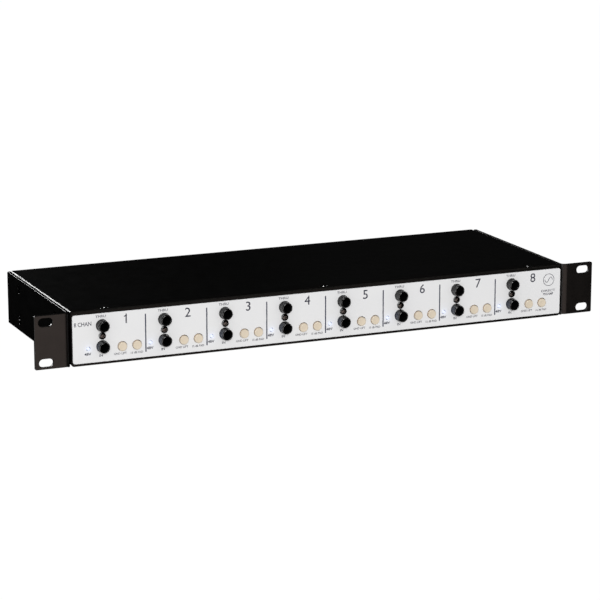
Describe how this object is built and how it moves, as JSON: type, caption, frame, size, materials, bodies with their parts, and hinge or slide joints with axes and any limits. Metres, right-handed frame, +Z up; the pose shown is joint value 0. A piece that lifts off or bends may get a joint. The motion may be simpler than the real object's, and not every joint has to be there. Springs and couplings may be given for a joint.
{
  "type": "rack direct-input preamp",
  "caption": "Rack-mount multichannel direct-input preamp: jack sockets and push buttons on the front panel, balanced outputs at the rear, bent rack ears.",
  "frame": {"origin": "centre of the chassis' underside", "axes": "+X to the right seen from the front, +Y from the front panel to the rear panel, +Z up"},
  "size_m": [0.4826, 0.1673, 0.0431],
  "materials": {
    "black_paint": "black powder coat, fine texture",
    "label_white": "satin white, printed",
    "black_moulding": "black moulded nylon, satin",
    "cream_plastic": "cream moulded plastic, satin gloss",
    "switch_moulding": "black moulded plastic",
    "circuit_board": "green solder mask over laminate",
    "transformer_steel": "laminated steel",
    "die_cast_black": "black die cast",
    "brass": "turned brass",
    "screw_black": "black zinc on steel",
    "lamp_lens": "clear lens, lit",
    "printing_ink": "screen-printed ink",
    "contact_metal": "nickel plated",
    "wire_insulation": "flexible insulation"
  },
  "bodies": {
    "chassis": {"chassis_tray": "black_paint", "left_side_plate": "black_paint", "right_side_plate": "black_paint", "top_cover": "black_paint", "front_panel": "black_paint", "rear_panel": "black_paint", "front_label_plate": "label_white", "main_board": "circuit_board", "board_standoff_1": "brass", "board_standoff_2": "brass", "board_standoff_3": "brass", "board_standoff_4": "brass", "stacked_jack_1": "black_moulding", "switch_pair_1": "switch_moulding", "output_transformer_1": "transformer_steel", "xlr_output_1": "die_cast_black", "stacked_jack_2": "black_moulding", "switch_pair_2": "switch_moulding", "output_transformer_2": "transformer_steel", "xlr_output_2": "die_cast_black", "stacked_jack_3": "black_moulding", "switch_pair_3": "switch_moulding", "output_transformer_3": "transformer_steel", "xlr_output_3": "die_cast_black", "stacked_jack_4": "black_moulding", "switch_pair_4": "switch_moulding", "output_transformer_4": "transformer_steel", "xlr_output_4": "die_cast_black", "stacked_jack_5": "black_moulding", "switch_pair_5": "switch_moulding", "output_transformer_5": "transformer_steel", "xlr_output_5": "die_cast_black", "stacked_jack_6": "black_moulding", "switch_pair_6": "switch_moulding", "output_transformer_6": "transformer_steel", "xlr_output_6": "die_cast_black", "stacked_jack_7": "black_moulding", "switch_pair_7": "switch_moulding", "output_transformer_7": "transformer_steel", "xlr_output_7": "die_cast_black", "stacked_jack_8": "black_moulding", "switch_pair_8": "switch_moulding", "output_transformer_8": "transformer_steel", "xlr_output_8": "die_cast_black"},
    "ground_lift_button_1": {"ground_lift_button_1": "cream_plastic"},
    "pad_button_1": {"pad_button_1": "cream_plastic"},
    "ground_lift_button_2": {"ground_lift_button_2": "cream_plastic"},
    "pad_button_2": {"pad_button_2": "cream_plastic"},
    "ground_lift_button_3": {"ground_lift_button_3": "cream_plastic"},
    "pad_button_3": {"pad_button_3": "cream_plastic"},
    "ground_lift_button_4": {"ground_lift_button_4": "cream_plastic"},
    "pad_button_4": {"pad_button_4": "cream_plastic"},
    "ground_lift_button_5": {"ground_lift_button_5": "cream_plastic"},
    "pad_button_5": {"pad_button_5": "cream_plastic"},
    "ground_lift_button_6": {"ground_lift_button_6": "cream_plastic"},
    "pad_button_6": {"pad_button_6": "cream_plastic"},
    "ground_lift_button_7": {"ground_lift_button_7": "cream_plastic"},
    "pad_button_7": {"pad_button_7": "cream_plastic"},
    "ground_lift_button_8": {"ground_lift_button_8": "cream_plastic"},
    "pad_button_8": {"pad_button_8": "cream_plastic"}
  },
  "joints": [
    {"name": "ground_lift_press_1", "type": "slide", "parent": "chassis", "child": "ground_lift_button_1", "axis": [0, 1, 0], "range_m": [0, 0.0022], "stiffness_N_per_m": 600},
    {"name": "pad_press_1", "type": "slide", "parent": "chassis", "child": "pad_button_1", "axis": [0, 1, 0], "range_m": [0, 0.0022], "stiffness_N_per_m": 600},
    {"name": "ground_lift_press_2", "type": "slide", "parent": "chassis", "child": "ground_lift_button_2", "axis": [0, 1, 0], "range_m": [0, 0.0022], "stiffness_N_per_m": 600},
    {"name": "pad_press_2", "type": "slide", "parent": "chassis", "child": "pad_button_2", "axis": [0, 1, 0], "range_m": [0, 0.0022], "stiffness_N_per_m": 600},
    {"name": "ground_lift_press_3", "type": "slide", "parent": "chassis", "child": "ground_lift_button_3", "axis": [0, 1, 0], "range_m": [0, 0.0022], "stiffness_N_per_m": 600},
    {"name": "pad_press_3", "type": "slide", "parent": "chassis", "child": "pad_button_3", "axis": [0, 1, 0], "range_m": [0, 0.0022], "stiffness_N_per_m": 600},
    {"name": "ground_lift_press_4", "type": "slide", "parent": "chassis", "child": "ground_lift_button_4", "axis": [0, 1, 0], "range_m": [0, 0.0022], "stiffness_N_per_m": 600},
    {"name": "pad_press_4", "type": "slide", "parent": "chassis", "child": "pad_button_4", "axis": [0, 1, 0], "range_m": [0, 0.0022], "stiffness_N_per_m": 600},
    {"name": "ground_lift_press_5", "type": "slide", "parent": "chassis", "child": "ground_lift_button_5", "axis": [0, 1, 0], "range_m": [0, 0.0022], "stiffness_N_per_m": 600},
    {"name": "pad_press_5", "type": "slide", "parent": "chassis", "child": "pad_button_5", "axis": [0, 1, 0], "range_m": [0, 0.0022], "stiffness_N_per_m": 600},
    {"name": "ground_lift_press_6", "type": "slide", "parent": "chassis", "child": "ground_lift_button_6", "axis": [0, 1, 0], "range_m": [0, 0.0022], "stiffness_N_per_m": 600},
    {"name": "pad_press_6", "type": "slide", "parent": "chassis", "child": "pad_button_6", "axis": [0, 1, 0], "range_m": [0, 0.0022], "stiffness_N_per_m": 600},
    {"name": "ground_lift_press_7", "type": "slide", "parent": "chassis", "child": "ground_lift_button_7", "axis": [0, 1, 0], "range_m": [0, 0.0022], "stiffness_N_per_m": 600},
    {"name": "pad_press_7", "type": "slide", "parent": "chassis", "child": "pad_button_7", "axis": [0, 1, 0], "range_m": [0, 0.0022], "stiffness_N_per_m": 600},
    {"name": "ground_lift_press_8", "type": "slide", "parent": "chassis", "child": "ground_lift_button_8", "axis": [0, 1, 0], "range_m": [0, 0.0022], "stiffness_N_per_m": 600},
    {"name": "pad_press_8", "type": "slide", "parent": "chassis", "child": "pad_button_8", "axis": [0, 1, 0], "range_m": [0, 0.0022], "stiffness_N_per_m": 600}
  ]
}
